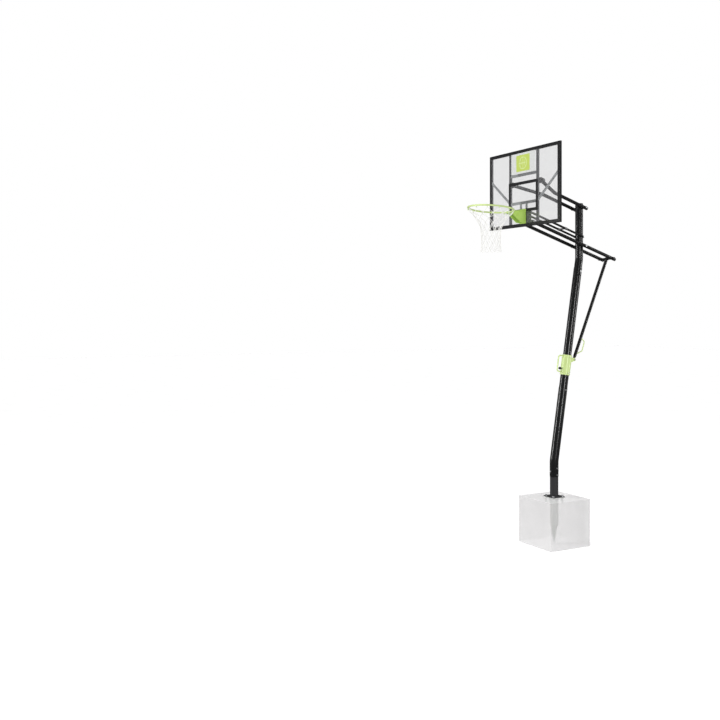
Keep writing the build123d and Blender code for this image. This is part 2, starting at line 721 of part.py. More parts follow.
# ---------------------------------------------------------------- backboard
def sheet_screw_places():
    edge = FRAME_FACE / 2
    rows = [(x, z) for x in SCREW_COLUMNS_X for z in (BOARD_BOTTOM + edge, BOARD_TOP - edge)]
    columns = [(x, z) for x in (-HALF_W + edge, HALF_W - edge) for z in SCREW_ROWS_Z]
    return rows + columns


def rim_bolt_places():
    return [(x, z) for x in RIM_BOLTS_X for z in RIM_BOLTS_Z]


def frame_bar(name, outline):
    bar = extrude_y(outline, FRAME_FRONT, FRAME_REAR)
    for x, z in sheet_screw_places():
        bar -= rod((x, FRAME_FRONT - 1, z), (x, FRAME_FRONT + SCREW_GRIP + 2, z), SCREW_R + SCREW_GAP)
    save(name, bar)


def make_frame():
    left, right, low, high = -HALF_W, HALF_W, BOARD_BOTTOM, BOARD_TOP
    f = FRAME_FACE
    frame_bar("frame_top", [(left, high), (right, high), (right - f, high - f), (left + f, high - f)])
    frame_bar("frame_bottom", [(left, low), (right, low), (right - f, low + f), (left + f, low + f)])
    frame_bar("frame_left", [(left, low), (left, high), (left + f, high - f), (left + f, low + f)])
    frame_bar("frame_right", [(right, low), (right, high), (right - f, high - f), (right - f, low + f)])
    half = BAR_FACE / 2
    near, far = UPRIGHT_X - half, UPRIGHT_X + half
    upright = block(near, far, FRAME_FRONT, BAR_REAR, low + f, high - f)
    save("rear_upright_right", upright)
    save("rear_upright_left", mirrored(upright))
    levels = UPPER_CROSSBAR_Z, LOWER_CROSSBAR_Z
    bars = [block(-near, near, FRAME_FRONT, BAR_REAR, z - half, z + half) for z in levels]
    save("rear_crossbars", *bars)
    tall = DIAGONAL_HEIGHT / 2
    outline = [
        (far, DIAGONAL_LOW_Z - tall),
        (HALF_W - f, DIAGONAL_TOP_Z - tall),
        (HALF_W - f, DIAGONAL_TOP_Z + tall),
        (far, DIAGONAL_LOW_Z + tall),
    ]
    diagonal = extrude_y(outline, FRAME_FRONT, FRAME_FRONT + DIAGONAL_DEPTH)
    save("diagonal_braces", *both_sides(diagonal))


def make_sheet():
    inset, corner = 2, 4
    side = HALF_W - inset
    sheet = block(-side, side, BOARD_FRONT, FRAME_FRONT, BOARD_BOTTOM + inset, BOARD_TOP - inset)
    sheet = fillet(sheet.edges().filter_by(Axis.Y), corner)
    screws = []
    for x, z in sheet_screw_places():
        sheet -= rod((x, BOARD_FRONT - 1, z), (x, FRAME_FRONT + 1, z), SCREW_R + 3 * SCREW_GAP)
        head = rod((x, BOARD_FRONT, z), (x, BOARD_FRONT - SCREW_HEAD_T, z), SCREW_HEAD_R)
        head = fillet(head.edges().group_by(Axis.Y)[0], SCREW_HEAD_T * 0.75)
        screws.append(head + rod((x, BOARD_FRONT, z), (x, FRAME_FRONT + SCREW_GRIP, z), SCREW_R))
    for x, z in rim_bolt_places():
        sheet -= rod((x, BOARD_FRONT - 1, z), (x, FRAME_FRONT + 1, z), INNER_BOLT_R + FIT_GAP)
    save("backboard_sheet", sheet)
    save("board_screws", *screws)


def make_carrier():
    """The steel channel behind the board that holds the rim and the lower arms."""
    low_z = BOARD_BOTTOM + FRAME_FACE + 2
    top_z = INNER_PIVOT_Z + ARM_RISE + CARRIER_OVER
    lower_z, inner_z = LOWER_PIVOT_Z + ARM_RISE, INNER_PIVOT_Z + ARM_RISE
    plate_rear = FRAME_FRONT + CARRIER_T
    carrier = block(-CARRIER_HALF_W, CARRIER_HALF_W, FRAME_FRONT, plate_rear, low_z, top_z)
    rear = FRONT_PIVOT_Y + CHEEK_REAR
    foot = lower_z - CHEEK_REAR - 2
    outline = [
        (plate_rear - 1, low_z),
        (FRAME_REAR + 1, low_z),
        (FRAME_REAR + 1, foot),
        (rear, foot),
        (rear, top_z - 8),
        (plate_rear + 30, top_z),
        (plate_rear - 1, top_z),
    ]
    outside = CHEEK_X + CARRIER_T
    cheek = extrude_x(outline, CHEEK_X, outside)
    carrier = carrier + cheek + mirrored(cheek)
    for z, radius in ((lower_z, PIVOT_R), (inner_z, INNER_BOLT_R)):
        carrier -= x_rod(FRONT_PIVOT_Y, z, -outside - 1, outside + 1, radius + FIT_GAP)
    for x, z in rim_bolt_places():
        carrier -= rod((x, FRAME_FRONT - 1, z), (x, plate_rear + 1, z), INNER_BOLT_R + FIT_GAP)
    upright = block(
        *CARRIER_UPRIGHT_X,
        FRAME_FRONT,
        FRAME_FRONT + CARRIER_UPRIGHT_DEPTH,
        top_z,
        LOWER_CROSSBAR_Z - BAR_FACE / 2,
    )
    spacers = [
        pivot_spacer(FRONT_PIVOT_Y, lower_z, outside, ARM_X - BOSS_HALF, PIVOT_R),
        pivot_spacer(FRONT_PIVOT_Y, inner_z, outside, INNER_X - INNER_BOSS_HALF, INNER_BOLT_R),
    ]
    save("ring_carrier", carrier)
    save("carrier_uprights", *both_sides(upright))
    save("carrier_spacers", *both_sides(*spacers))
    lower_reach, inner_reach = ARM_X + BOSS_HALF + SIDE_GAP, INNER_X + INNER_BOSS_HALF + SIDE_GAP
    low_bolt, low_nut = cross_bolt(FRONT_PIVOT_Y, lower_z, lower_reach, PIVOT_R)
    in_bolt, in_nut = cross_bolt(FRONT_PIVOT_Y, inner_z, inner_reach, INNER_BOLT_R)
    return [low_bolt, in_bolt], [low_nut, in_nut]


def make_upper_brackets():
    """Forked brackets on the rear uprights, which hold the upper arms, and their pivot bolts."""
    y, z = FRONT_PIVOT_Y, UPPER_PIVOT_Z + ARM_RISE
    near, far = SPLAY_X - BRACKET_HALF_GAP, SPLAY_X + BRACKET_HALF_GAP
    root, tall = BAR_REAR + BRACKET_BASE_T, BRACKET_HALF_H
    upper_edge = [(root - 1, tall), (y - 2, 20), (y + 14, 14), (y + 18, 0)]
    lower_edge = [(edge_y, -height) for edge_y, height in upper_edge[-2::-1]]
    outline = [(edge_y, z + height) for edge_y, height in upper_edge + lower_edge]
    bracket = block(near - BRACKET_T, far + BRACKET_T, BAR_REAR, root, z - tall, z + tall)
    bracket += extrude_x(outline, near - BRACKET_T, near)
    bracket += extrude_x(outline, far, far + BRACKET_T)
    bracket -= x_rod(y, z, near - BRACKET_T - 1, far + BRACKET_T + 1, PIVOT_R + FIT_GAP)
    save("upper_arm_brackets", *both_sides(bracket))
    reach = BRACKET_HALF_GAP + BRACKET_T + FIT_GAP
    side_bolt, side_nut = cross_bolt(y, z, reach, PIVOT_R, SPLAY_X)
    return both_sides(side_bolt), both_sides(side_nut)


# ---------------------------------------------------------------- rim and net
def ring_torus(radius):
    return RIM_PLANE.location * Torus(RING_R, radius)


def rim_bracket():
    """A back plate, two gussets and a top plate, shaped to the tilted ring they are welded to."""
    back_y = BOARD_FRONT - RIM_PLATE_T
    root = back_y + 1
    high = RIM_PLATE_HIGH - 8
    tilt = math.radians(RIM_TILT)
    tip_y = RIM_Y + RING_R * math.cos(tilt) - 4
    tip_z = RIM_Z - RING_R * math.sin(tilt)
    half = RIM_PLATE_HALF_W
    back = block(-half, half, back_y, BOARD_FRONT, RIM_PLATE_LOW, RIM_PLATE_HIGH)
    bracket = fillet(back.edges().filter_by(Axis.Y), 8)
    side = [
        (root, RIM_PLATE_LOW + 6),
        (BOARD_FRONT - 62, RIM_PLATE_LOW + 10),
        (tip_y + 20, tip_z - 22),
        (tip_y, tip_z - 12),
        (tip_y, tip_z + ROD_R),
        (root, high),
    ]
    gusset = extrude_x(side, RIM_GUSSET_X, RIM_GUSSET_X + RIM_GUSSET_T)
    low_edge = [(root, high - RIM_GUSSET_T), (tip_y, tip_z + ROD_R - RIM_GUSSET_T)]
    top = extrude_x([(root, high), *low_edge, (tip_y, tip_z + ROD_R)], -RIM_GUSSET_X, RIM_GUSSET_X)
    bracket = bracket + gusset + mirrored(gusset) + top - ring_torus(ROD_R)
    for x, z in rim_bolt_places():
        bracket -= rod((x, back_y - 1, z), (x, BOARD_FRONT + 1, z), INNER_BOLT_R + FIT_GAP)
    return bracket


def make_rim():
    """The ring and its bracket; returns the bolts and nuts that hold it to the carrier."""
    seat = FRAME_FRONT + CARRIER_T
    back_y = BOARD_FRONT - RIM_PLATE_T
    bolts, nuts = [], []
    for x, z in rim_bolt_places():
        bolts.append(bolt((x, back_y, z), (x, seat + RIM_BOLT_OVER, z), INNER_BOLT_R))
        nuts.append(nut((x, seat, z), (0, 1, 0), INNER_BOLT_R))
    save("rim_ring", ring_torus(ROD_R))
    save("rim_bracket", rim_bracket())
    return bolts, nuts


def make_hooks():
    """Closed wire eyes under the ring, which carry the net."""
    drop = ROD_R + FIT_GAP + HOOK_R + HOOK_WIRE_R
    eyes = []
    for index in range(HOOKS):
        eye = Pos(RING_R, 0, -drop) * Rot(90, 0, 0) * Torus(HOOK_R, HOOK_WIRE_R)
        eyes.append(RIM_PLANE.location * (Rot(0, 0, 360 / HOOKS * (index + 0.5)) * eye))
    save("net_hooks", *eyes)


def net_level(radius, drop):
    """Corners of the net at one level: they hang straight below the tilted ring."""
    corners = []
    lean = math.sin(math.radians(RIM_TILT)) * radius
    follow = 1 - (drop - NET_TOP_DROP) / (NET_FOOT_DROP - NET_TOP_DROP)
    for index in range(NET_PANELS):
        angle = 2 * math.pi * (index + 0.5) / NET_PANELS
        x, y = radius * math.cos(angle), radius * math.sin(angle)
        z = RIM_Z - drop - lean * math.sin(angle) * follow
        corners.append(Vector(x, RIM_Y + y, z))
    return corners


def net_panel(a, b, c, d):
    """A thin four-sided panel, drawn in a little so that it stays clear of its neighbours."""
    centre = (a + b + c + d) * 0.25
    corners = [p + (centre - p).normalized() * NET_SEAM for p in (a, b, c, d)]
    normal = (corners[1] - corners[0]).cross(corners[3] - corners[0]).normalized()
    plane = Plane(origin=centre, x_dir=corners[1] - corners[0], z_dir=normal)
    flat = [plane.to_local_coords(p) for p in corners]
    outline = make_face(Polyline(*[(p.X, p.Y) for p in flat], close=True))
    return extrude(plane * outline, NET_T / 2, both=True)


def make_net():
    levels = [
        net_level(NET_TOP_R, NET_TOP_DROP),
        net_level(NET_WAIST_R, NET_WAIST_DROP),
        net_level(NET_FOOT_R, NET_FOOT_DROP),
    ]
    panels = []
    for upper, lower in zip(levels, levels[1:]):
        for index in range(NET_PANELS):
            other = (index + 1) % NET_PANELS
            panels.append(net_panel(upper[index], upper[other], lower[other], lower[index]))
    save("net", *panels)


# ---------------------------------------------------------------- the whole hoop
def main():
    make_foundation()
    make_post_fasteners(*make_post())
    make_lower_arms()
    make_upper_arms()
    make_inner_arms()
    make_strut()
    make_collar()
    make_sheet()
    make_frame()
    fasteners = make_carrier(), make_upper_brackets(), make_rim()
    save("board_bolts", *(item for bolts, _ in fasteners for item in bolts))
    save("board_nuts", *(item for _, nuts in fasteners for item in nuts))
    make_hooks()
    make_net()


main()
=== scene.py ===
"""The basketball hoop's finishes, board print, net, weld seams, light and camera."""

import json
import math

import bpy
import bmesh
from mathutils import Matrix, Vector


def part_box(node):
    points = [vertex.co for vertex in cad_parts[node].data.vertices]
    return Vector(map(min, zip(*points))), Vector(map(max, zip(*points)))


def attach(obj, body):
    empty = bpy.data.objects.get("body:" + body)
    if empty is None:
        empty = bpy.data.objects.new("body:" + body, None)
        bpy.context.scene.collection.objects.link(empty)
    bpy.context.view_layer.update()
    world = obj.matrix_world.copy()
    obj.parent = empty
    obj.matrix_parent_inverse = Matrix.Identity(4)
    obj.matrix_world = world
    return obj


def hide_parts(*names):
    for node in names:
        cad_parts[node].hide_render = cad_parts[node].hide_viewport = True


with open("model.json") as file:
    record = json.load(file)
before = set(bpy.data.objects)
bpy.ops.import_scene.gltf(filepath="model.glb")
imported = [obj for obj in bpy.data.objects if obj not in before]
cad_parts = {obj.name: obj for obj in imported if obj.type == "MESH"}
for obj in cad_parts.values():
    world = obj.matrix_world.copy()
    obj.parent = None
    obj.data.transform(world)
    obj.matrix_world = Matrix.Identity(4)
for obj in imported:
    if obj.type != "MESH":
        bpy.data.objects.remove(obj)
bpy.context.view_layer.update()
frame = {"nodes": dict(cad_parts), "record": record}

# ---------------------------------------------------------------- places from the frame
sheet_low, sheet_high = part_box("backboard_sheet")
block_low, block_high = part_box("foundation_block")
ring_low, ring_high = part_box("rim_ring")
axle_low, axle_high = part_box("rear_axle")
upright_low, upright_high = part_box("rear_upright_right")
bottom_low, bottom_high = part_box("frame_bottom")
crossbars_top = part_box("rear_crossbars")[1].z
stub_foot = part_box("post_stub")[0].z
ring_centre = Vector((0, (ring_low.y + ring_high.y) / 2, (ring_low.z + ring_high.z) / 2))

# ---------------------------------------------------------------- sizes of the CAD parts, in metres
# the ring, its hooks and its bracket
RING_R, ROD_R = 0.234, 0.009
RING_TILT = math.radians(5)
HOOKS = 12
FIRST_HOOK = math.radians(15)
HOOK_DROP, HOOK_R, HOOK_WIRE_R = 0.0172, 0.006, 0.002
GUSSET_FACES_X = (0.033, 0.038)

# the post's stub and leaning part, and the collar and strut on it, with the feet of their grips
STUB_R, BASE_PLATE_T = 0.0443, 0.008
LEAN = math.atan2(0.349, 2.170)
LEAN_START_Z = 0.390
COLLAR_R, COLLAR_FOOT_R = 0.052, 0.009
COLLAR_GRIP_STATIONS = (0.951, 1.126)
LUG_STATION, LUG_OFFSET, LUG_FACE_X = 1.105, 0.096, 0.017
LUG_BELOW, LUG_ABOVE = 0.041, 0.016
STRUT_R, STRUT_FOOT_R = 0.017, 0.0065
STRUT_GRIP_STATIONS = (0.076, 0.250)


# ---------------------------------------------------------------- materials
class Nodes:
    """A material's node tree around one Principled shader."""

    def __init__(self, name):
        self.material = bpy.data.materials.new(name)
        self.material.use_nodes = True
        self.nodes = self.material.node_tree.nodes
        self.links = self.material.node_tree.links
        self.nodes.clear()
        self.shader = self.nodes.new("ShaderNodeBsdfPrincipled")
        output = self.nodes.new("ShaderNodeOutputMaterial")
        self.links.new(self.shader.outputs[0], output.inputs["Surface"])
        self.place = self.nodes.new("ShaderNodeTexCoord").outputs["Object"]
        self.soft_normal = None

    def set(self, **values):
        """Shader inputs by name, with an underscore for each space."""
        for name, value in values.items():
            self.shader.inputs[name.replace("_", " ")].default_value = value
        return self

    def see_through(self):
        self.material.surface_render_method = "BLENDED"

    def stretched(self, scale):
        mapping = self.nodes.new("ShaderNodeMapping")
        mapping.inputs["Scale"].default_value = scale
        self.links.new(self.place, mapping.inputs["Vector"])
        return mapping.outputs[0]

    def noise(self, scale, detail=2.0, roughness=0.5, place=None):
        node = self.nodes.new("ShaderNodeTexNoise")
        node.inputs["Scale"].default_value = scale
        node.inputs["Detail"].default_value = detail
        node.inputs["Roughness"].default_value = roughness
        self.links.new(place or self.place, node.inputs["Vector"])
        return node.outputs["Fac"]

    def cells(self, scale, output="Color"):
        node = self.nodes.new("ShaderNodeTexVoronoi")
        node.inputs["Scale"].default_value = scale
        self.links.new(self.place, node.inputs["Vector"])
        return node.outputs[output]

    def ranged(self, value, low, high, start=0.0, end=1.0):
        """A value taken from low..high to start..end, and held there beyond them."""
        node = self.nodes.new("ShaderNodeMapRange")
        node.inputs["From Min"].default_value = low
        node.inputs["From Max"].default_value = high
        node.inputs["To Min"].default_value = start
        node.inputs["To Max"].default_value = end
        self.links.new(value, node.inputs["Value"])
        return node.outputs[0]

    def spread(self, noise, start=0.0, end=1.0):
        """The middle of a noise's range taken to start..end."""
        return self.ranged(noise, 0.3, 0.7, start, end)

    def times(self, first, second):
        node = self.nodes.new("ShaderNodeMath")
        node.operation = "MULTIPLY"
        for socket, value in zip(node.inputs, (first, second)):
            if isinstance(value, float):
                socket.default_value = value
            else:
                self.links.new(value, socket)
        return node.outputs[0]

    def blend(self, factor, first, second):
        """From first to second, each of them a colour or a socket."""
        node = self.nodes.new("ShaderNodeMix")
        node.data_type = "RGBA"
        self.links.new(factor, node.inputs["Factor"])
        for name, value in (("A", first), ("B", second)):
            socket = [s for s in node.inputs if s.name == name and s.type == "RGBA"][0]
            if isinstance(value, tuple):
                socket.default_value = (*value, 1)
            else:
                self.links.new(value, socket)
        return [s for s in node.outputs if s.type == "RGBA"][0]

    def edges(self, radius):
        """1 along edges and corners that wear, 0 on flats. The bump then follows soft edges."""
        bevel = self.nodes.new("ShaderNodeBevel")
        bevel.samples = 3
        bevel.inputs["Radius"].default_value = radius
        self.soft_normal = bevel.outputs[0]
        geometry = self.nodes.new("ShaderNodeNewGeometry")
        dot = self.nodes.new("ShaderNodeVectorMath")
        dot.operation = "DOT_PRODUCT"
        self.links.new(bevel.outputs[0], dot.inputs[0])
        self.links.new(geometry.outputs["True Normal"], dot.inputs[1])
        return self.ranged(dot.outputs["Value"], 0.995, 0.86)

    def upward(self):
        """1 on faces that look up, 0 on upright and lower ones."""
        facing = self.nodes.new("ShaderNodeNewGeometry").outputs["Normal"]
        split = self.nodes.new("ShaderNodeSeparateXYZ")
        self.links.new(facing, split.inputs[0])
        return self.ranged(split.outputs["Z"], 0.7, 0.9)

    def colour(self, socket):
        self.links.new(socket, self.shader.inputs["Base Color"])

    def roughness(self, socket):
        self.links.new(socket, self.shader.inputs["Roughness"])

    def bump(self, height, distance, strength=1.0):
        node = self.nodes.new("ShaderNodeBump")
        node.inputs["Distance"].default_value = distance
        node.inputs["Strength"].default_value = strength
        self.links.new(height, node.inputs["Height"])
        if self.soft_normal:
            self.links.new(self.soft_normal, node.inputs["Normal"])
        self.links.new(node.outputs[0], self.shader.inputs["Normal"])


def shade(colour, factor):
    return tuple(min(1.0, c * factor) for c in colour)


def powder_coat(name, colour, rough, coat, worn):
    """Paint with orange peel, faint cloudiness and edges that have rubbed lighter."""
    n = Nodes(name).set(Coat_Weight=coat, Coat_Roughness=0.12, Specular_IOR_Level=0.5)
    body = n.blend(n.spread(n.noise(5.0, 3.0)), shade(colour, 0.90), shade(colour, 1.10))
    rubbed = n.times(n.edges(0.0016), n.ranged(n.noise(90.0, 3.0), 0.42, 0.68))
    n.colour(n.blend(n.times(rubbed, 0.55), body, worn))
    smears = n.noise(14.0, 4.0, 0.6)
    n.roughness(n.ranged(smears, 0.25, 0.75, rough * 0.82, rough * 1.25))
    n.bump(n.noise(420.0), 0.00012)
    return n.material


def plated(name, colour, rough):
    """Bright zinc: metal with cloudy passivation and fine scratches."""
    n = Nodes(name).set(Metallic=1.0)
    n.colour(n.blend(n.spread(n.noise(45.0, 4.0)), shade(colour, 0.86), shade(colour, 1.06)))
    n.roughness(n.spread(n.noise(160.0, 3.0), rough * 0.75, rough * 1.35))
    n.bump(n.noise(900.0), 0.00004)
    return n.material


def galvanised():
    """Hot-dip zinc: spangled crystals, each a little lighter or darker, with runs down the tube."""
    crystals = 75.0
    n = Nodes("galvanised").set(Metallic=0.72)
    grey = n.blend(n.cells(crystals), (0.72, 0.75, 0.72), (0.90, 0.92, 0.89))
    runs = n.ranged(n.noise(14.0, 3.0, 0.5, n.stretched((1, 1, 0.12))), 0.35, 0.7)
    n.colour(n.blend(n.times(runs, 0.35), grey, (0.97, 0.98, 0.96)))
    n.roughness(n.ranged(n.noise(30.0, 1.0, 0.4), 0.2, 0.8, 0.24, 0.42))
    n.bump(n.cells(crystals, "Distance"), 0.00015, 0.6)
    return n.material


def show_concrete():
    """Pale see-through concrete, as the foundation is shown: cloudy, with pores and a top face
    painted lighter as painted light from above.
    """
    n = Nodes("show_concrete").set(Alpha=0.50, Roughness=0.62, Specular_IOR_Level=0.1)
    cloud = n.spread(n.noise(5.0, 5.0, 0.6))
    body = n.blend(cloud, (0.450, 0.442, 0.444), (0.480, 0.472, 0.474))
    # painted light: faces that look up are coloured lighter, as if lit from above
    lit_top = n.blend(n.upward(), body, (0.58, 0.57, 0.575))
    pores = n.ranged(n.cells(150.0, "Distance"), 0.10, 0.16)
    n.colour(n.blend(pores, (0.41, 0.40, 0.40), lit_top))
    n.bump(n.noise(120.0, 4.0, 0.6), 0.0006, 0.5)
    n.see_through()
    return n.material


def clear_sheet():
    """Clear polycarbonate with a cool grey tint and faint handling haze."""
    n = Nodes("clear_sheet").set(
        Alpha=0.185, Specular_IOR_Level=1.0, Coat_Weight=1.0, Coat_Roughness=0.03
    )
    haze = n.spread(n.noise(6.0, 4.0, 0.6))
    n.colour(n.blend(haze, (0.24, 0.24, 0.25), (0.31, 0.31, 0.32)))
    n.roughness(n.spread(n.noise(30.0, 4.0), 0.05, 0.12))
    n.see_through()
    return n.material


def moulded(name, colour, rough):
    """Injection-moulded plastic with a fine spark-eroded grain."""
    n = Nodes(name).set(Specular_IOR_Level=0.25)
    n.colour(n.blend(n.spread(n.noise(60.0)), shade(colour, 0.88), shade(colour, 1.15)))
    n.roughness(n.spread(n.noise(240.0), rough * 0.9, rough * 1.15))
    n.bump(n.noise(700.0, 3.0), 0.00010)
    return n.material


def printed(name, colour, rough, alpha=1.0):
    """Screen-printed ink: nearly even, with pinholes of thinner ink."""
    n = Nodes(name).set(Alpha=alpha, Specular_IOR_Level=0.5)
    thin = n.ranged(n.noise(260.0, 3.0), 0.62, 0.78)
    n.colour(n.blend(thin, colour, shade(colour, 1.25)))
    n.roughness(n.spread(n.noise(40.0), rough * 0.85, rough * 1.2))
    n.bump(n.noise(600.0), 0.00003)
    if alpha < 1:
        n.see_through()
    return n.material


def white_cord():
    """White polyester cord: fibre fuzz, with darker grey fibres mixed in at random as painted shade
    on the cords.
    """
    n = Nodes("net_cord").set(Sheen_Weight=0.3, Sheen_Roughness=0.5, Specular_IOR_Level=0.25)
    fibre = n.noise(1500.0, 3.0, 0.6)
    # painted shade: the darker grey end stands in for shade on the cords, spread at random over the
    # fibres
    n.colour(n.blend(n.spread(fibre), (0.60, 0.59, 0.57), (0.84, 0.84, 0.82)))
    n.roughness(n.spread(fibre, 0.65, 0.85))
    n.bump(fibre, 0.0003, 0.7)
    return n.material


# colour, roughness, clear coat and the colour of rubbed edges
POWDER_COATS = {
    "post_black": ((0.0035, 0.0038, 0.0042), 0.24, 0.45, (0.10, 0.10, 0.10)),
    "stub_black": ((0.020, 0.020, 0.022), 0.42, 0.15, (0.14, 0.14, 0.14)),
    "arm_black": ((0.0035, 0.0035, 0.0037), 0.26, 0.4, (0.09, 0.09, 0.09)),
    "frame_black": ((0.008, 0.008, 0.0085), 0.34, 0.2, (0.10, 0.10, 0.10)),
    "frame_grey": ((0.27, 0.28, 0.285), 0.38, 0.2, (0.45, 0.45, 0.45)),
    "frame_dark_grey": ((0.070, 0.073, 0.075), 0.38, 0.2, (0.28, 0.28, 0.28)),
    "lime": ((0.365, 0.545, 0.105), 0.30, 0.4, (0.62, 0.74, 0.40)),
    "pale_lime": ((0.485, 0.60, 0.235), 0.30, 0.4, (0.80, 0.85, 0.62)),
}
finishes = {name: powder_coat(name, *coat) for name, coat in POWDER_COATS.items()}
finishes |= {
    "concrete": show_concrete(),
    "galvanised": galvanised(),
    "zinc": plated("zinc", (0.80, 0.81, 0.82), 0.26),
    "spring_steel": plated("spring_steel", (0.62, 0.62, 0.64), 0.22),
    "clear_sheet": clear_sheet(),
    "nylon": moulded("nylon", (0.010, 0.010, 0.0105), 0.55),
    "net_cord": white_cord(),
}
ink_black = printed("ink_black", (0.010, 0.010, 0.011), 0.30)
ink_white = printed("ink_white", (0.55, 0.56, 0.55), 0.35, 0.82)
ink_lime = printed("ink_lime", (0.385, 0.47, 0.085), 0.35)
ink_pale = printed("ink_pale", (0.53, 0.62, 0.30), 0.35)

# parts that the photograph shows darker than the rest of their slot
DARKER = {
    "rear_upright_left": "frame_dark_grey",
    "rear_upright_right": "frame_dark_grey",
    "rear_axle": "arm_black",
}
for part in frame["record"]["subparts"]:
    materials = frame["nodes"][part["node"]].data.materials
    materials.clear()
    materials.append(finishes[DARKER.get(part["node"], part["material_slot"])])


# ---------------------------------------------------------------- mesh helpers
UP = Vector((0, 0, 1))


def turn(steps, start=0.0, end=360.0):
    """Evenly spaced angles from start towards end, both in degrees, without the last one."""
    return [math.radians(start + (end - start) * k / steps) for k in range(steps)]


def shares(steps):
    """Evenly spaced numbers from 0 to 1, with both ends."""
    return [k / steps for k in range(steps + 1)]


def placed(name, data):
    made = bpy.data.objects.new(name, data)
    bpy.context.scene.collection.objects.link(made)
    return made


def frames_along(points, closed):
    """Two steady side directions at each point of a path."""
    count = len(points)
    tangents = []
    for i in range(count):
        before = points[i - 1] if i or closed else points[0]
        after = points[(i + 1) % count] if i + 1 < count or closed else points[-1]
        tangents.append((after - before).normalized())
    side = tangents[0].orthogonal().normalized()
    made = []
    for tangent in tangents:
        side = (side - tangent * side.dot(tangent)).normalized()
        made.append((side, tangent.cross(side)))
    return made


class Shell:
    """Vertices and faces of one mesh, gathered from many tubes and plates."""

    def __init__(self):
        self.verts, self.faces = [], []

    def tube(self, points, size, sides, closed=False):
        """size gives the radius from a point's index and the angle round the tube."""
        points = [Vector(p) for p in points]
        first, count = len(self.verts), len(points)
        for i, (point, (u, v)) in enumerate(zip(points, frames_along(points, closed))):
            for a in turn(sides):
                self.verts.append(point + (u * math.cos(a) + v * math.sin(a)) * size(i, a))
        for i in range(count if closed else count - 1):
            here, there = first + i * sides, first + (i + 1) % count * sides
            for k in range(sides):
                j = (k + 1) % sides
                self.faces.append((here + k, here + j, there + j, there + k))
        if not closed:
            last = first + (count - 1) * sides
            self.faces.append(tuple(first + k for k in reversed(range(sides))))
            self.faces.append(tuple(last + k for k in range(sides)))

    def plate(self, outline, holes, y_front, y_back):
        """A flat plate in the board's plane from an outline and holes in X and Z."""
        mesh = bmesh.new()
        edges = []
        for loop in (outline, *holes):
            ring = [mesh.verts.new((x, y_front, z)) for x, z in loop]
            edges += [mesh.edges.new((ring[i - 1], ring[i])) for i in range(len(ring))]
        bmesh.ops.triangle_fill(mesh, use_beauty=True, edges=edges)
        bmesh.ops.recalc_face_normals(mesh, faces=mesh.faces)
        made = bmesh.ops.extrude_face_region(mesh, geom=list(mesh.faces))
        moved = [g for g in made["geom"] if isinstance(g, bmesh.types.BMVert)]
        bmesh.ops.translate(mesh, verts=moved, vec=(0, y_back - y_front, 0))
        bmesh.ops.recalc_face_normals(mesh, faces=mesh.faces)
        first = len(self.verts)
        mesh.verts.index_update()
        self.verts += [v.co.copy() for v in mesh.verts]
        self.faces += [tuple(first + v.index for v in f.verts) for f in mesh.faces]
        mesh.free()

    def made(self, name, body, slot=None, ink=None):
        """One piece that rides with a body: smooth in a slot's finish, or flat in an ink."""
        mesh = bpy.data.meshes.new(name)
        mesh.from_pydata([tuple(v) for v in self.verts], [], self.faces)
        mesh.update()
        if slot:
            mesh.shade_smooth()
        else:
            mesh.shade_flat()
        mesh.materials.append(ink or finishes[slot])
        made = placed(name, mesh)
        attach(made, body)
        return made


def rounded(x0, x1, z0, z1, radius, steps=6):
    """A rectangle with rounded corners, as points in X and Z."""
    corners = ((x1, z1, 0), (x0, z1, 90), (x0, z0, 180), (x1, z0, 270))
    points = []
    for x, z, start in corners:
        cx = x - math.copysign(radius, x - (x0 + x1) / 2)
        cz = z - math.copysign(radius, z - (z0 + z1) / 2)
        for share in shares(steps):
            a = math.radians(start + 90 * share)
            points.append((cx + radius * math.cos(a), cz + radius * math.sin(a)))
    return points


def circle(x, z, radius, steps=48):
    return [(x + radius * math.cos(a), z + radius * math.sin(a)) for a in turn(steps)]


# ---------------------------------------------------------------- foundation block
BLOCK_ARRIS = 0.004


def make_block():
    """The cast block, with softened arrises."""
    mesh = bmesh.new()
    bmesh.ops.create_cube(mesh, size=1.0)
    size = block_high - block_low
    centre = (block_high + block_low) / 2
    for v in mesh.verts:
        v.co = Vector((v.co.x * size.x, v.co.y * size.y, v.co.z * size.z)) + centre
    edges = list(mesh.edges)
    bmesh.ops.bevel(
        mesh, geom=edges, offset=BLOCK_ARRIS, segments=3, profile=0.5, affect="EDGES"
    )
    data = bpy.data.meshes.new("block_cast")
    mesh.to_mesh(data)
    mesh.free()
    data.shade_smooth()
    data.materials.append(finishes["concrete"])
    made = placed("block_cast", data)
    modifier = made.modifiers.new("weighted", "WEIGHTED_NORMAL")
    modifier.keep_sharp = True
    made.visible_shadow = False
    made.visible_diffuse = False
    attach(made, "foundation_and_post")
    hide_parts("foundation_block")


# ---------------------------------------------------------------- board print
PRINT_GAP, PRINT_T = 0.0001, 0.0003
BORDER = bottom_high.z - bottom_low.z
BORDER_CORNERS, BORDER_STEPS = (0.006, 0.003), 6
SQUARE_CORNERS, SQUARE_STEPS = (0.002, 0.002), 2
SQUARE_LOW_Z, SQUARE_TOP_Z, SQUARE_LINE = 3.045, 3.335, 0.032
PANEL_INSET, PANEL_MARGIN, PANEL_CORNER = 0.016, 0.001, 0.004
PATCH_HALF_WIDE, PATCH_HALF_TALL, PATCH_CORNER = 0.110, 0.086, 0.010
BALL_R, BALL_STROKE = 0.064, 0.0055
SEAM_CORNER, SEAM_STEPS = 0.001, 2
BOW_X, BOW_R, BOW_REACH, BOW_STEPS = 0.083, 0.055, math.radians(47), 14


def ink_layer(behind):
    """Where a layer of ink on a surface at the depth behind has its front and its back."""
    return behind - PRINT_GAP - PRINT_T, behind - PRINT_GAP


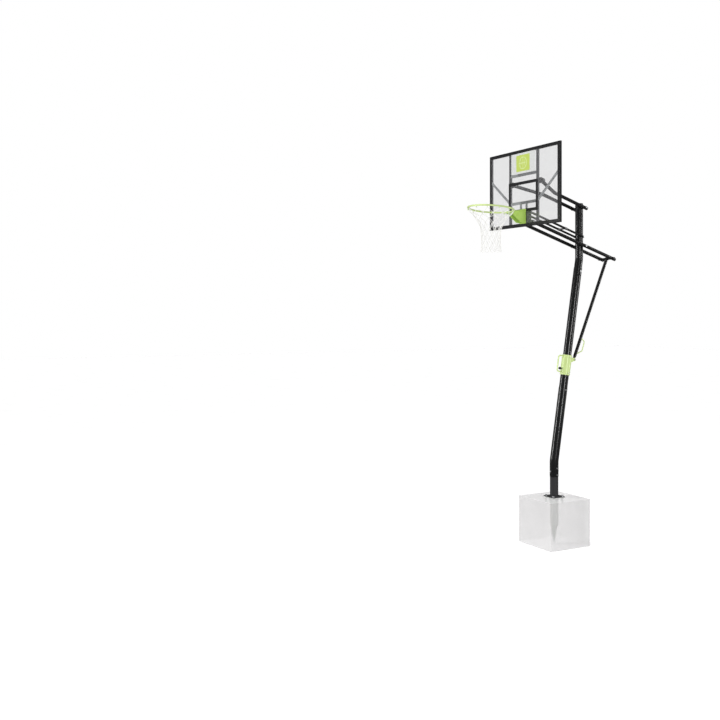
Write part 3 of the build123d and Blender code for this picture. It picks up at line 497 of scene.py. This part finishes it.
def print_frame(name, x, z, line, corners, steps):
    """A printed rectangle's line: x and z are its outer limits."""
    outer, inner = corners
    shell = Shell()
    shell.plate(
        rounded(*x, *z, outer, steps),
        [rounded(x[0] + line, x[1] - line, z[0] + line, z[1] - line, inner, steps)],
        *ink_layer(sheet_low.y),
    )
    shell.made(name, "backboard", ink=ink_black)


def make_print():
    sheet_x, sheet_z = (sheet_low.x, sheet_high.x), (sheet_low.z, sheet_high.z)
    print_frame("print_border", sheet_x, sheet_z, BORDER, BORDER_CORNERS, BORDER_STEPS)
    half = SQUARE_LINE / 2
    side = (upright_low.x + upright_high.x) / 2 + half
    square_x, square_z = (-side, side), (SQUARE_LOW_Z - half, SQUARE_TOP_Z + half)
    print_frame(
        "print_target_square", square_x, square_z, SQUARE_LINE, SQUARE_CORNERS, SQUARE_STEPS
    )
    inside = upright_low.x - PANEL_INSET
    panel_low = crossbars_top + PANEL_MARGIN
    panel_high = sheet_high.z - BORDER - PANEL_MARGIN
    outline = rounded(-inside, inside, panel_low, panel_high, PANEL_CORNER)
    panel = Shell()
    panel.plate(outline, [], *ink_layer(sheet_low.y))
    panel.made("print_panel", "backboard", ink=ink_white)
    make_emblem((panel_low + panel_high) / 2)


def make_emblem(centre_z):
    """A plain patch with a line drawing of a ball: a circle and its seams."""
    panel_front, _ = ink_layer(sheet_low.y)
    patch_front, patch_back = ink_layer(panel_front)
    low, high = centre_z - PATCH_HALF_TALL, centre_z + PATCH_HALF_TALL
    outline = rounded(-PATCH_HALF_WIDE, PATCH_HALF_WIDE, low, high, PATCH_CORNER)
    patch = Shell()
    patch.plate(outline, [], patch_front, patch_back)
    patch.made("emblem_patch", "backboard", ink=ink_lime)

    front, back = ink_layer(patch_front)
    inside, half = BALL_R - BALL_STROKE, BALL_STROKE / 2
    ball = Shell()
    ball.plate(circle(0, centre_z, BALL_R), [circle(0, centre_z, inside)], front, back)
    seams = ((inside, -half, half), (half, half, inside), (half, -inside, -half))
    for x, low, high in seams:
        seam = rounded(-x, x, centre_z + low, centre_z + high, SEAM_CORNER, SEAM_STEPS)
        ball.plate(seam, [], front, back)
    for left in (1, -1):
        bow = []
        for edge, order in ((BOW_R - half, 1), (BOW_R + half, -1)):
            for share in shares(BOW_STEPS)[::order]:
                a = BOW_REACH * (2 * share - 1)
                x = left * (BOW_X - edge * math.cos(a))
                bow.append((x, centre_z + edge * math.sin(a)))
        ball.plate(bow, [], front - PRINT_T, front - PRINT_GAP)
    ball.made("emblem_ball", "backboard", ink=ink_pale)


# ---------------------------------------------------------------- net
CORD_R = 0.0025
CORD_STRANDS, CORD_LAY, CORD_MEAN, CORD_SWELL = 3, 0.011, 0.93, 0.13
CORD_SIDES, THIN_CORD_SIDES = 9, 7
HALF_STEP = math.pi / HOOKS
KNOT_DROPS = (0.060, 0.117, 0.175, 0.232, 0.288, 0.343, 0.397)
KNOT_SIZE, KNOT_DEPTH, KNOT_CORD, KNOT_STEPS = 0.001302, 1.2, 0.86, 22
FOOT_DROP = 0.444
LEVEL_DROP = 0.40
NET_TOP_R, NET_WAIST_R = 0.221, 0.106
NECK_START, NECK_LENGTH, NECK_POWER = 0.030, 0.185, 1.5
TUCK_START, TUCK_LENGTH, TUCK_DEPTH = 0.215, 0.23, 0.006
STRAND_SAG, STRAND_TUCK, STRAND_STEPS = 0.0035, 0.5, 16
TOP_STRAND_SAG, TOP_STRAND_BOW, TOP_STRAND_STEPS = 0.003985, 0.002, 18
TOP_STRAND_GAP = 0.0005
EYE_HALF_WIDE, EYE_HALF_TALL, EYE_ASIDE = 0.0044, 0.0052, 0.001
EYE_CORD, EYE_STEPS = 0.8, 16


def part_way(drop, start, length):
    """0 above start, 1 from start + length down, and even in between."""
    return min(1.0, max(0.0, (drop - start) / length))


def net_radius(drop):
    """The net's radius at a drop below the ring's centre."""
    neck = (1 - part_way(drop, NECK_START, NECK_LENGTH)) ** NECK_POWER
    tuck = TUCK_DEPTH * math.sin(math.pi * part_way(drop, TUCK_START, TUCK_LENGTH))
    return NET_WAIST_R + (NET_TOP_R - NET_WAIST_R) * neck - tuck


def outwards(angle):
    return Vector((math.cos(angle), math.sin(angle), 0))


def net_point(angle, drop, radius=None):
    """A point of the net, which follows the tilted ring less and less down to LEVEL_DROP."""
    r = net_radius(drop) if radius is None else radius
    follow = max(0.0, 1 - drop / LEVEL_DROP)
    x, y = r * math.cos(angle), r * math.sin(angle)
    z = ring_centre.z - drop - math.sin(RING_TILT) * y * follow
    return Vector((x, ring_centre.y + y, z))


def rope(shell, points):
    """A laid cord: its strands wind round the line of points."""
    spread = [0.0]
    for a, b in zip(points, points[1:]):
        spread.append(spread[-1] + (b - a).length)

    def size(i, a):
        wound = a - 2 * math.pi * spread[i] / CORD_LAY
        return CORD_R * (CORD_MEAN + CORD_SWELL * math.cos(CORD_STRANDS * wound))

    shell.tube(points, size, CORD_SIDES)


def thin_loop(shell, points, share):
    """A closed loop of cord, pulled thin to a share of its size."""
    shell.tube(points, lambda i, a: CORD_R * share, THIN_CORD_SIDES, closed=True)


def strand(start_angle, start_drop, end_angle, end_drop):
    """A strand between two knots, bowed a little by its weight."""
    points = []
    for t in shares(STRAND_STEPS):
        sag = STRAND_SAG * math.sin(math.pi * t)
        angle = start_angle + (end_angle - start_angle) * t
        drop = start_drop + (end_drop - start_drop) * t + sag
        points.append(net_point(angle, drop, net_radius(drop) - STRAND_TUCK * sag))
    return points


def knot(shell, centre, outward):
    """A small overhand knot as a three-lobed closed tube."""
    side = outward.cross(UP).normalized()
    points = []
    for t in turn(KNOT_STEPS):
        u = math.sin(t) + 2 * math.sin(2 * t)
        v = math.cos(t) - 2 * math.cos(2 * t)
        w = -math.sin(3 * t) * KNOT_DEPTH
        points.append(centre + (side * u + UP * v + outward * w) * KNOT_SIZE)
    thin_loop(shell, points, KNOT_CORD)


def hang(shell, angle):
    """The cord's eye in one hook, and the two strands from it to the first row of knots."""
    top = net_point(angle, 0.0, RING_R)
    top.z -= HOOK_DROP + HOOK_R - HOOK_WIRE_R - CORD_R
    radial = outwards(angle)
    start = top - UP * TOP_STRAND_GAP
    bow = radial * TOP_STRAND_BOW - UP * TOP_STRAND_SAG
    for way in (1, -1):
        end = net_point(angle + way * HALF_STEP, KNOT_DROPS[0])
        points = [
            start.lerp(end, t) + bow * math.sin(math.pi * t) for t in shares(TOP_STRAND_STEPS)
        ]
        rope(shell, points)
    centre = top + outwards(angle + math.pi / 2) * EYE_ASIDE
    wide, tall = radial * EYE_HALF_WIDE, UP * EYE_HALF_TALL
    eye = [centre + wide * math.cos(a) + tall * math.sin(a) for a in turn(EYE_STEPS)]
    thin_loop(shell, eye, EYE_CORD)


def foot_loop(angle, drop):
    """The loop of cord below the net, from a knot of the last row to the next one."""
    points = []
    for t in shares(STRAND_STEPS):
        fall = (FOOT_DROP - drop) * (1 - (2 * t - 1) ** 2)
        points.append(net_point(angle + 2 * HALF_STEP * t, drop + fall))
    return points


def make_net():
    shell = Shell()
    for hook in range(HOOKS):
        base = FIRST_HOOK + 2 * HALF_STEP * hook
        hang(shell, base)
        for row, drop in enumerate(KNOT_DROPS):
            angle = base + (HALF_STEP if row % 2 == 0 else 0.0)
            knot(shell, net_point(angle, drop), outwards(angle))
            if row + 1 == len(KNOT_DROPS):
                rope(shell, foot_loop(angle, drop))
                break
            for way in (1, -1):
                rope(shell, strand(angle, drop, angle + way * HALF_STEP, KNOT_DROPS[row + 1]))
    made = shell.made("net_mesh", "backboard", "net_cord")
    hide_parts("net")


# ---------------------------------------------------------------- weld beads
BEAD_SIDES = 9
RIPPLE, RIPPLE_TURN = 0.10, 1.9
WOBBLE, WOBBLE_TURN = 0.05, 0.7
STUB_BEAD_R, RING_BEAD_R, COLLAR_BEAD_R, STRUT_BEAD_R = 0.0032, 0.0018, 0.0018, 0.0014
STUB_BEAD_PROUD, RING_BEAD_PROUD, LUG_BEAD_PROUD = 0.0012, 0.0006, 0.0005
ROD_BEAD_PROUD = 0.0008
ROD_SEAM_START, ROD_SEAM_END = 95, -105
SADDLE_PROUD = 0.3
STUB_SEAM_STEPS, ROD_SEAM_STEPS, SADDLE_STEPS, LUG_SEAM_STEPS = 96, 30, 48, 30


def bead(shell, points, radius, closed=False):
    """A ripple-topped weld bead along a line."""

    def size(i, a):
        ripple = RIPPLE * math.sin(i * RIPPLE_TURN)
        return radius * (1 + ripple + WOBBLE * math.sin(i * WOBBLE_TURN + a))

    shell.tube(points, size, BEAD_SIDES, closed)


def on_lean(x, y, s):
    """A point beside the leaning post: y points rearwards of its axis, s runs up it."""
    run, rise = math.sin(LEAN), math.cos(LEAN)
    return Vector((x, y * rise + s * run, LEAN_START_Z - y * run + s * rise))


def saddle(shell, centre, axis, up, tube_r, foot_r, bead_r):
    """The seam where a round foot stands on a round tube: axis points out of the tube."""
    across = axis.cross(up).normalized()
    proud = bead_r * SADDLE_PROUD
    seam_r = foot_r + proud
    seam = []
    for a in turn(SADDLE_STEPS):
        x = seam_r * math.cos(a)
        out = math.sqrt((tube_r + proud) ** 2 - x * x)
        seam.append(centre + across * x + up * seam_r * math.sin(a) + axis * out)
    bead(shell, seam, bead_r, closed=True)


def weld_stub():
    """The seam of the stub on its base plate."""
    seam_r = STUB_R + STUB_BEAD_PROUD
    z = stub_foot + BASE_PLATE_T + STUB_BEAD_PROUD
    seam = Shell()
    line = [(seam_r * math.cos(a), seam_r * math.sin(a), z) for a in turn(STUB_SEAM_STEPS)]
    bead(seam, line, STUB_BEAD_R, closed=True)
    seam.made("weld_stub", "foundation_and_post", "stub_black")


def weld_ring():
    """Seams round the ring's rod, on both faces of both gussets of its bracket."""
    inner, outer = GUSSET_FACES_X
    seam_r = ROD_R + ROD_BEAD_PROUD
    far, near = outer + RING_BEAD_PROUD, inner - RING_BEAD_PROUD
    angles = turn(ROD_SEAM_STEPS, ROD_SEAM_START, ROD_SEAM_END)
    seams = Shell()
    for x in (far, near, -near, -far):
        reach = math.sqrt(RING_R**2 - x * x)
        y = ring_centre.y + reach * math.cos(RING_TILT)
        z = ring_centre.z - reach * math.sin(RING_TILT)
        arc = [(x, y + seam_r * math.cos(a), z + seam_r * math.sin(a)) for a in angles]
        bead(seams, arc, RING_BEAD_R)
    seams.made("weld_ring", "backboard", "lime")


def weld_collar():
    """Seams of the collar's grip and of the lug behind it."""
    start = on_lean(0, 0, 0)
    forwards, up = on_lean(0, -1, 0) - start, on_lean(0, 0, 1) - start
    seams = Shell()
    for station in COLLAR_GRIP_STATIONS:
        centre = on_lean(0, 0, station)
        saddle(seams, centre, forwards, up, COLLAR_R, COLLAR_FOOT_R, COLLAR_BEAD_R)
    foot, height = LUG_STATION - LUG_BELOW, LUG_BELOW + LUG_ABOVE
    face = LUG_FACE_X + LUG_BEAD_PROUD
    y = math.sqrt(COLLAR_R**2 - face**2) + LUG_BEAD_PROUD
    for x in (face, -face):
        line = [on_lean(x, y, foot + height * t) for t in shares(LUG_SEAM_STEPS)]
        bead(seams, line, COLLAR_BEAD_R)
    seams.made("weld_collar", "height_collar", "pale_lime")


def weld_strut():
    """Seams of the grip on the strut."""
    low = on_lean(0, LUG_OFFSET, LUG_STATION)
    high = Vector((0, (axle_low.y + axle_high.y) / 2, (axle_low.z + axle_high.z) / 2))
    run = (high - low).normalized()
    behind = Vector((0, run.z, -run.y))
    seams = Shell()
    for station in STRUT_GRIP_STATIONS:
        centre = low + run * station
        saddle(seams, centre, behind, run, STRUT_R, STRUT_FOOT_R, STRUT_BEAD_R)
    seams.made("weld_strut", "strut", "pale_lime")


# ---------------------------------------------------------------- floor, light, camera
FLOOR_HALF, FLOOR_GAP = 45.0, 0.0005
WORLD_TILT = (-0.24, -0.26, 0.0)
WORLD_IN_MIRRORS, WORLD_IN_CAMERA = 0.12, 1.0
SUN_POWER, SUN_ANGLE, SUN_FROM = 1.0, math.radians(25), (-2.5, -5.5, 8.0)
AIM_X, AIM_Y = 0.0, 0.2
# place, width and height, power
SOFTBOXES = {
    "strip_front": ((5.9, -1.1, 2.00), (0.40, 2.4), 75),
    "strip_right": ((3.3, 5.0, 2.30), (0.45, 2.8), 90),
    "strip_left": ((-2.6, -5.4, 2.20), (0.45, 2.6), 90),
}


def make_floor():
    half, z = FLOOR_HALF, block_low.z - FLOOR_GAP
    corners = [(-half, -half, z), (half, -half, z), (half, half, z), (-half, half, z)]
    mesh = bpy.data.meshes.new("floor")
    mesh.from_pydata(corners, [], [(0, 1, 2, 3)])
    n = Nodes("floor").set(Roughness=0.9, Specular_IOR_Level=0.0)
    n.colour(n.blend(n.spread(n.noise(2.0)), (0.79, 0.79, 0.79), (0.81, 0.81, 0.81)))
    mesh.materials.append(n.material)
    floor = placed("floor", mesh)
    floor.visible_glossy = False


def make_world():
    """White all round, brighter towards one side and in the camera, darker in mirrors."""
    world = bpy.data.worlds.new("studio")
    world.use_nodes = True
    nodes, links = world.node_tree.nodes, world.node_tree.links
    nodes.clear()

    def background():
        node = nodes.new("ShaderNodeBackground")
        node.inputs["Color"].default_value = (1, 1, 1, 1)
        return node

    direction = nodes.new("ShaderNodeTexCoord").outputs["Generated"]
    tilt = nodes.new("ShaderNodeVectorMath")
    tilt.operation = "DOT_PRODUCT"
    tilt.inputs[1].default_value = WORLD_TILT
    links.new(direction, tilt.inputs[0])
    strength = nodes.new("ShaderNodeMath")
    strength.operation = "ADD"
    strength.inputs[1].default_value = 1.0
    links.new(tilt.outputs["Value"], strength.inputs[0])
    tilted = background()
    links.new(strength.outputs[0], tilted.inputs["Strength"])
    shown = tilted.outputs[0]
    path = nodes.new("ShaderNodeLightPath")
    for ray, power in (("Is Glossy Ray", WORLD_IN_MIRRORS), ("Is Camera Ray", WORLD_IN_CAMERA)):
        even = background()
        even.inputs["Strength"].default_value = power
        mix = nodes.new("ShaderNodeMixShader")
        links.new(path.outputs[ray], mix.inputs[0])
        links.new(shown, mix.inputs[1])
        links.new(even.outputs[0], mix.inputs[2])
        shown = mix.outputs[0]
    output = nodes.new("ShaderNodeOutputWorld")
    links.new(shown, output.inputs["Surface"])
    bpy.context.scene.world = world


def aimed(name, light, place, target):
    lamp = placed(name, light)
    lamp.location = place
    lamp.rotation_euler = (Vector(target) - Vector(place)).to_track_quat("-Z", "Y").to_euler()
    return lamp


def make_sun():
    light = bpy.data.lights.new("sun", "SUN")
    light.energy = SUN_POWER
    light.angle = SUN_ANGLE
    aimed("sun", light, SUN_FROM, (0, 0, 0))


def make_softbox(name, place, size, power):
    """An upright strip of light, aimed level at the post."""
    light = bpy.data.lights.new(name, "AREA")
    light.shape = "RECTANGLE"
    light.size, light.size_y = size
    light.energy = power
    lamp = aimed(name, light, place, (AIM_X, AIM_Y, place[2]))
    lamp.visible_camera = False


def make_camera():
    """The level camera that the photograph was taken to have."""
    data = bpy.data.cameras.new("camera")
    data.sensor_width = 36.0
    data.lens = 46.765
    data.shift_x, data.shift_y = 0.0007, -0.0655
    data.clip_start, data.clip_end = 0.1, 200.0
    camera = placed("camera", data)
    camera.location = (7.78858, -6.61899, 1.971576)
    camera.rotation_euler = (math.radians(90), 0, math.radians(61.396))
    bpy.context.scene.camera = camera


make_block()
make_print()
make_net()
weld_stub()
weld_ring()
weld_collar()
weld_strut()
make_floor()
make_world()
make_sun()
for name, softbox in SOFTBOXES.items():
    make_softbox(name, *softbox)
make_camera()
bpy.context.scene.view_settings.view_transform = "Standard"
bpy.context.scene.view_settings.look = "None"
